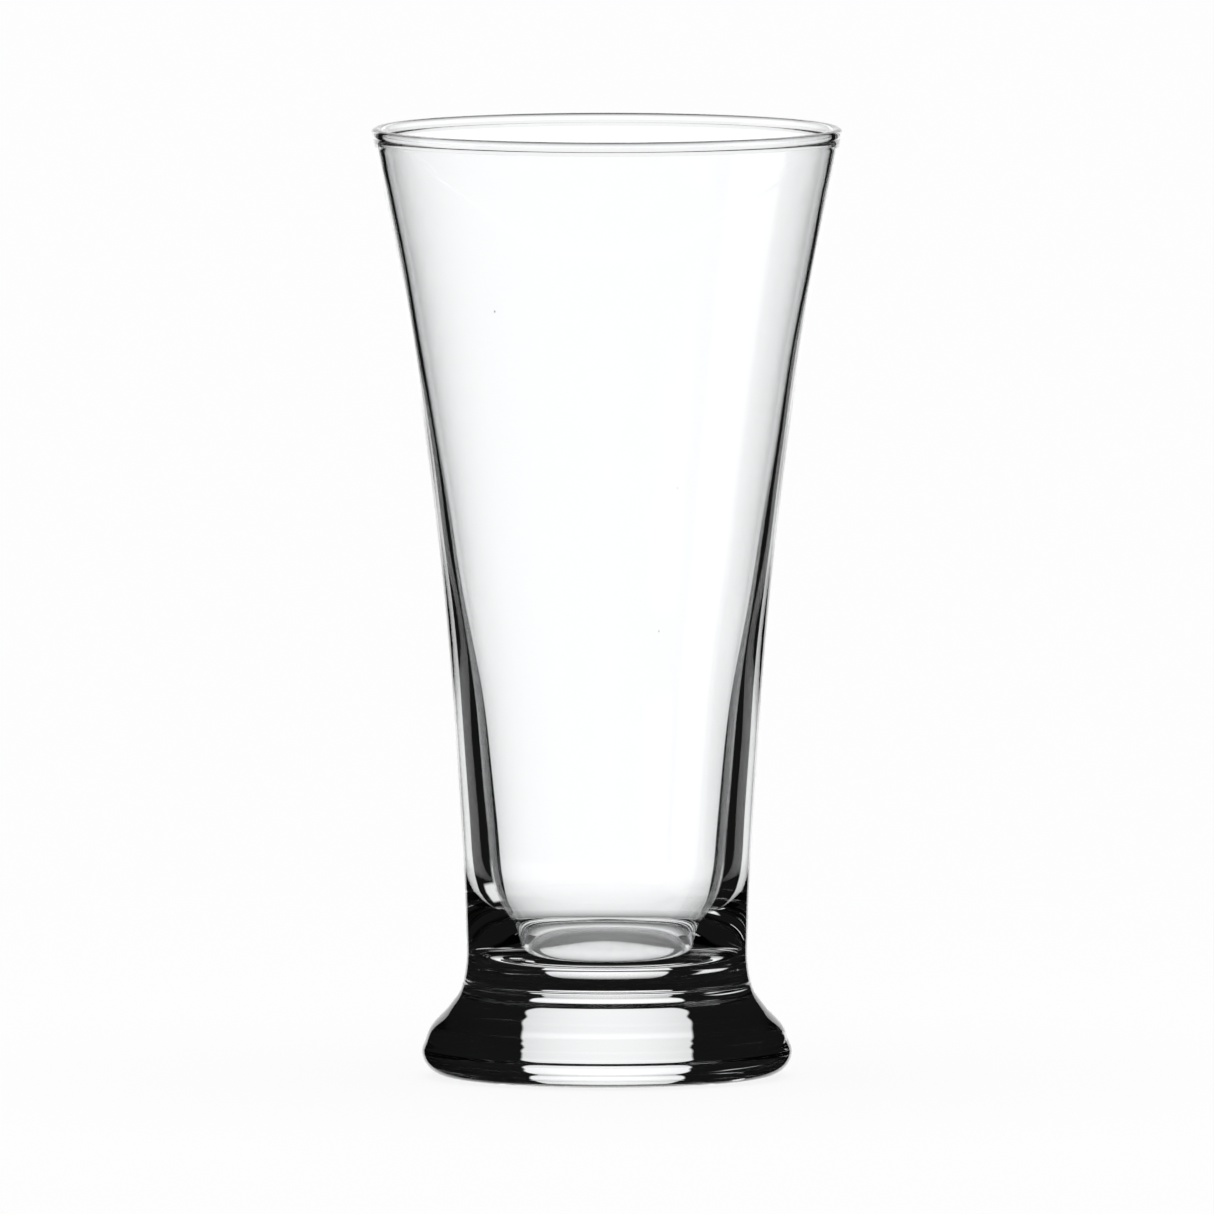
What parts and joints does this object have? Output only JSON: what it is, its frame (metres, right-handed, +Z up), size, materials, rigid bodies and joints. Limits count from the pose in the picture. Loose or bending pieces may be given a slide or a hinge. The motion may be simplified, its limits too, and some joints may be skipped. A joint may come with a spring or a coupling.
{
  "type": "pint glass",
  "caption": "Flared drinking glass of clear soda-lime glass: thin fire-polished lip, wall thickening to a narrow waist, thick solid foot with a rounded flared rim.",
  "frame": {"origin": "on the table, at the middle of the foot's bearing ring", "axes": "+Z up along the glass's axis of turning; the glass is round, so +X and +Y are free"},
  "size_m": [0.0952, 0.0952, 0.1915],
  "materials": {
    "bowl_glass": "fire-polished clear soda-lime glass, a few tiny seeds",
    "foot_glass": "pressed clear soda-lime glass, slightly wavy, bearing ring scuffed from use"
  },
  "bodies": {
    "root": {"bowl": "bowl_glass", "foot": "foot_glass"}
  },
  "joints": []
}
